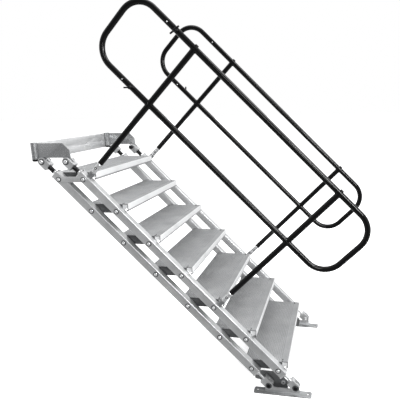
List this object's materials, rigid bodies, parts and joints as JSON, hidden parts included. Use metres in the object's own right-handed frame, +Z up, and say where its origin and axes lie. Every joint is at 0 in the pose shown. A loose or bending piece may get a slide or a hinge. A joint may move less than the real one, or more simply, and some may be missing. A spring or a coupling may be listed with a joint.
{
  "type": "stage stairs",
  "caption": "Height-following stage stairs with level treads on two pairs of sloping steel tubes, a stage bracket, floor feet and tubular handrails with pull-out ends.",
  "frame": {"origin": "middle of the bracket face that meets the stage", "axes": "+Y points at the stage, +Z up, +X to the right side seen from the front of the stairs"},
  "size_m": [1.0422, 2.0166, 2.3138],
  "materials": {
    "zinc_steel": "galvanised steel, matt, lightly clouded",
    "dark_steel": "dark grey coated steel",
    "deck_steel": "galvanised sheet with fine perforation",
    "nosing_aluminium": "light ribbed aluminium edge strip",
    "bright_steel": "bright zinc-plated fasteners",
    "black_paint": "semi-gloss black powder coat",
    "black_screw": "black oxide"
  },
  "bodies": {
    "top_bracket": {"top_bracket": "dark_steel", "bracket_bolt_left_lower": "bright_steel", "bracket_bolt_left_upper": "bright_steel", "bracket_bolt_right_lower": "bright_steel", "bracket_bolt_right_upper": "bright_steel"},
    "upper_frame": {"upper_tube_left": "zinc_steel", "upper_fork_top_left": "zinc_steel", "upper_fork_foot_left": "zinc_steel", "upper_tube_right": "zinc_steel", "upper_fork_top_right": "zinc_steel", "upper_fork_foot_right": "zinc_steel", "handrail_left": "black_paint", "post_socket_left_uphill": "dark_steel", "post_clamp_left_uphill": "dark_steel", "post_spigot_left_uphill": "bright_steel", "post_socket_left_downhill": "dark_steel", "post_clamp_left_downhill": "dark_steel", "post_spigot_left_downhill": "bright_steel", "handrail_right": "black_paint", "post_socket_right_uphill": "dark_steel", "post_clamp_right_uphill": "dark_steel", "post_spigot_right_uphill": "bright_steel", "post_socket_right_downhill": "dark_steel", "post_clamp_right_downhill": "dark_steel", "post_spigot_right_downhill": "bright_steel"},
    "lower_frame": {"lower_tube_left": "zinc_steel", "lower_fork_top_left": "zinc_steel", "lower_fork_foot_left": "zinc_steel", "lower_tube_right": "zinc_steel", "lower_fork_top_right": "zinc_steel", "lower_fork_foot_right": "zinc_steel"},
    "tread_1": {"tread_1_deck": "deck_steel", "tread_1_nosing": "nosing_aluminium", "tread_1_link_left": "zinc_steel", "tread_1_link_right": "zinc_steel"},
    "tread_2": {"tread_2_deck": "deck_steel", "tread_2_nosing": "nosing_aluminium"},
    "tread_3": {"tread_3_deck": "deck_steel", "tread_3_nosing": "nosing_aluminium"},
    "tread_4": {"tread_4_deck": "deck_steel", "tread_4_nosing": "nosing_aluminium"},
    "tread_5": {"tread_5_deck": "deck_steel", "tread_5_nosing": "nosing_aluminium"},
    "tread_6": {"tread_6_deck": "deck_steel", "tread_6_nosing": "nosing_aluminium"},
    "tread_7": {"tread_7_deck": "deck_steel", "tread_7_nosing": "nosing_aluminium"},
    "foot_left": {"foot_left": "zinc_steel", "foot_left_bolt_lower": "bright_steel", "foot_left_bolt_upper": "bright_steel"},
    "foot_right": {"foot_right": "zinc_steel", "foot_right_bolt_lower": "bright_steel", "foot_right_bolt_upper": "bright_steel"},
    "rail_end_left": {"rail_end_left": "black_paint"},
    "rail_end_right": {"rail_end_right": "black_paint"},
    "wing_screw_left_lower": {"wing_screw_left_lower": "black_screw"},
    "wing_screw_left_upper": {"wing_screw_left_upper": "black_screw"},
    "wing_screw_right_lower": {"wing_screw_right_lower": "black_screw"},
    "wing_screw_right_upper": {"wing_screw_right_upper": "black_screw"}
  },
  "joints": [
    {"name": "slope_hinge", "type": "hinge", "parent": "top_bracket", "child": "upper_frame", "pos_m": [0, -0.24, -0.056], "axis": [1, 0, 0], "range_deg": [-13, 5]},
    {"name": "lower_tube_hinge", "type": "hinge", "parent": "top_bracket", "child": "lower_frame", "pos_m": [0, -0.076, -0.056], "axis": [1, 0, 0], "range_deg": [-13, 5]},
    {"name": "tread_1_hinge", "type": "hinge", "parent": "upper_frame", "child": "tread_1", "pos_m": [0, -0.34607, -0.16207], "axis": [1, 0, 0], "range_deg": [-5, 13]},
    {"name": "tread_2_hinge", "type": "hinge", "parent": "upper_frame", "child": "tread_2", "pos_m": [0, -0.54052, -0.35652], "axis": [1, 0, 0], "range_deg": [-5, 13]},
    {"name": "tread_3_hinge", "type": "hinge", "parent": "upper_frame", "child": "tread_3", "pos_m": [0, -0.73498, -0.55097], "axis": [1, 0, 0], "range_deg": [-5, 13]},
    {"name": "tread_4_hinge", "type": "hinge", "parent": "upper_frame", "child": "tread_4", "pos_m": [0, -0.92943, -0.74543], "axis": [1, 0, 0], "range_deg": [-5, 13]},
    {"name": "tread_5_hinge", "type": "hinge", "parent": "upper_frame", "child": "tread_5", "pos_m": [0, -1.12388, -0.93988], "axis": [1, 0, 0], "range_deg": [-5, 13]},
    {"name": "tread_6_hinge", "type": "hinge", "parent": "upper_frame", "child": "tread_6", "pos_m": [0, -1.31834, -1.13434], "axis": [1, 0, 0], "range_deg": [-5, 13]},
    {"name": "tread_7_hinge", "type": "hinge", "parent": "upper_frame", "child": "tread_7", "pos_m": [0, -1.51279, -1.32879], "axis": [1, 0, 0], "range_deg": [-5, 13]},
    {"name": "foot_left_hinge", "type": "hinge", "parent": "upper_frame", "child": "foot_left", "pos_m": [-0.475, -1.61886, -1.43486], "axis": [1, 0, 0], "range_deg": [-5, 13]},
    {"name": "foot_right_hinge", "type": "hinge", "parent": "upper_frame", "child": "foot_right", "pos_m": [0.475, -1.61886, -1.43486], "axis": [1, 0, 0], "range_deg": [-5, 13]},
    {"name": "rail_end_left_slide", "type": "slide", "parent": "upper_frame", "child": "rail_end_left", "axis": [0, 0.7071, 0.7071], "range_m": [0, 0.09]},
    {"name": "rail_end_right_slide", "type": "slide", "parent": "upper_frame", "child": "rail_end_right", "axis": [0, 0.7071, 0.7071], "range_m": [0, 0.09]},
    {"name": "wing_screw_left_lower_turn", "type": "hinge", "parent": "upper_frame", "child": "wing_screw_left_lower", "pos_m": [-0.475, -0.69113, 0.35836], "axis": [-1, 0, 0], "continuous": true},
    {"name": "wing_screw_left_upper_turn", "type": "hinge", "parent": "upper_frame", "child": "wing_screw_left_upper", "pos_m": [-0.475, -0.97398, 0.64121], "axis": [-1, 0, 0], "continuous": true},
    {"name": "wing_screw_right_lower_turn", "type": "hinge", "parent": "upper_frame", "child": "wing_screw_right_lower", "pos_m": [0.475, -0.69113, 0.35836], "axis": [1, 0, 0], "continuous": true},
    {"name": "wing_screw_right_upper_turn", "type": "hinge", "parent": "upper_frame", "child": "wing_screw_right_upper", "pos_m": [0.475, -0.97398, 0.64121], "axis": [1, 0, 0], "continuous": true}
  ],
  "couplings": [
    {"joint": "lower_tube_hinge", "follows": "slope_hinge", "ratio": 1},
    {"joint": "tread_1_hinge", "follows": "slope_hinge", "ratio": -1},
    {"joint": "tread_2_hinge", "follows": "slope_hinge", "ratio": -1},
    {"joint": "tread_3_hinge", "follows": "slope_hinge", "ratio": -1},
    {"joint": "tread_4_hinge", "follows": "slope_hinge", "ratio": -1},
    {"joint": "tread_5_hinge", "follows": "slope_hinge", "ratio": -1},
    {"joint": "tread_6_hinge", "follows": "slope_hinge", "ratio": -1},
    {"joint": "tread_7_hinge", "follows": "slope_hinge", "ratio": -1},
    {"joint": "foot_left_hinge", "follows": "slope_hinge", "ratio": -1},
    {"joint": "foot_right_hinge", "follows": "slope_hinge", "ratio": -1}
  ]
}
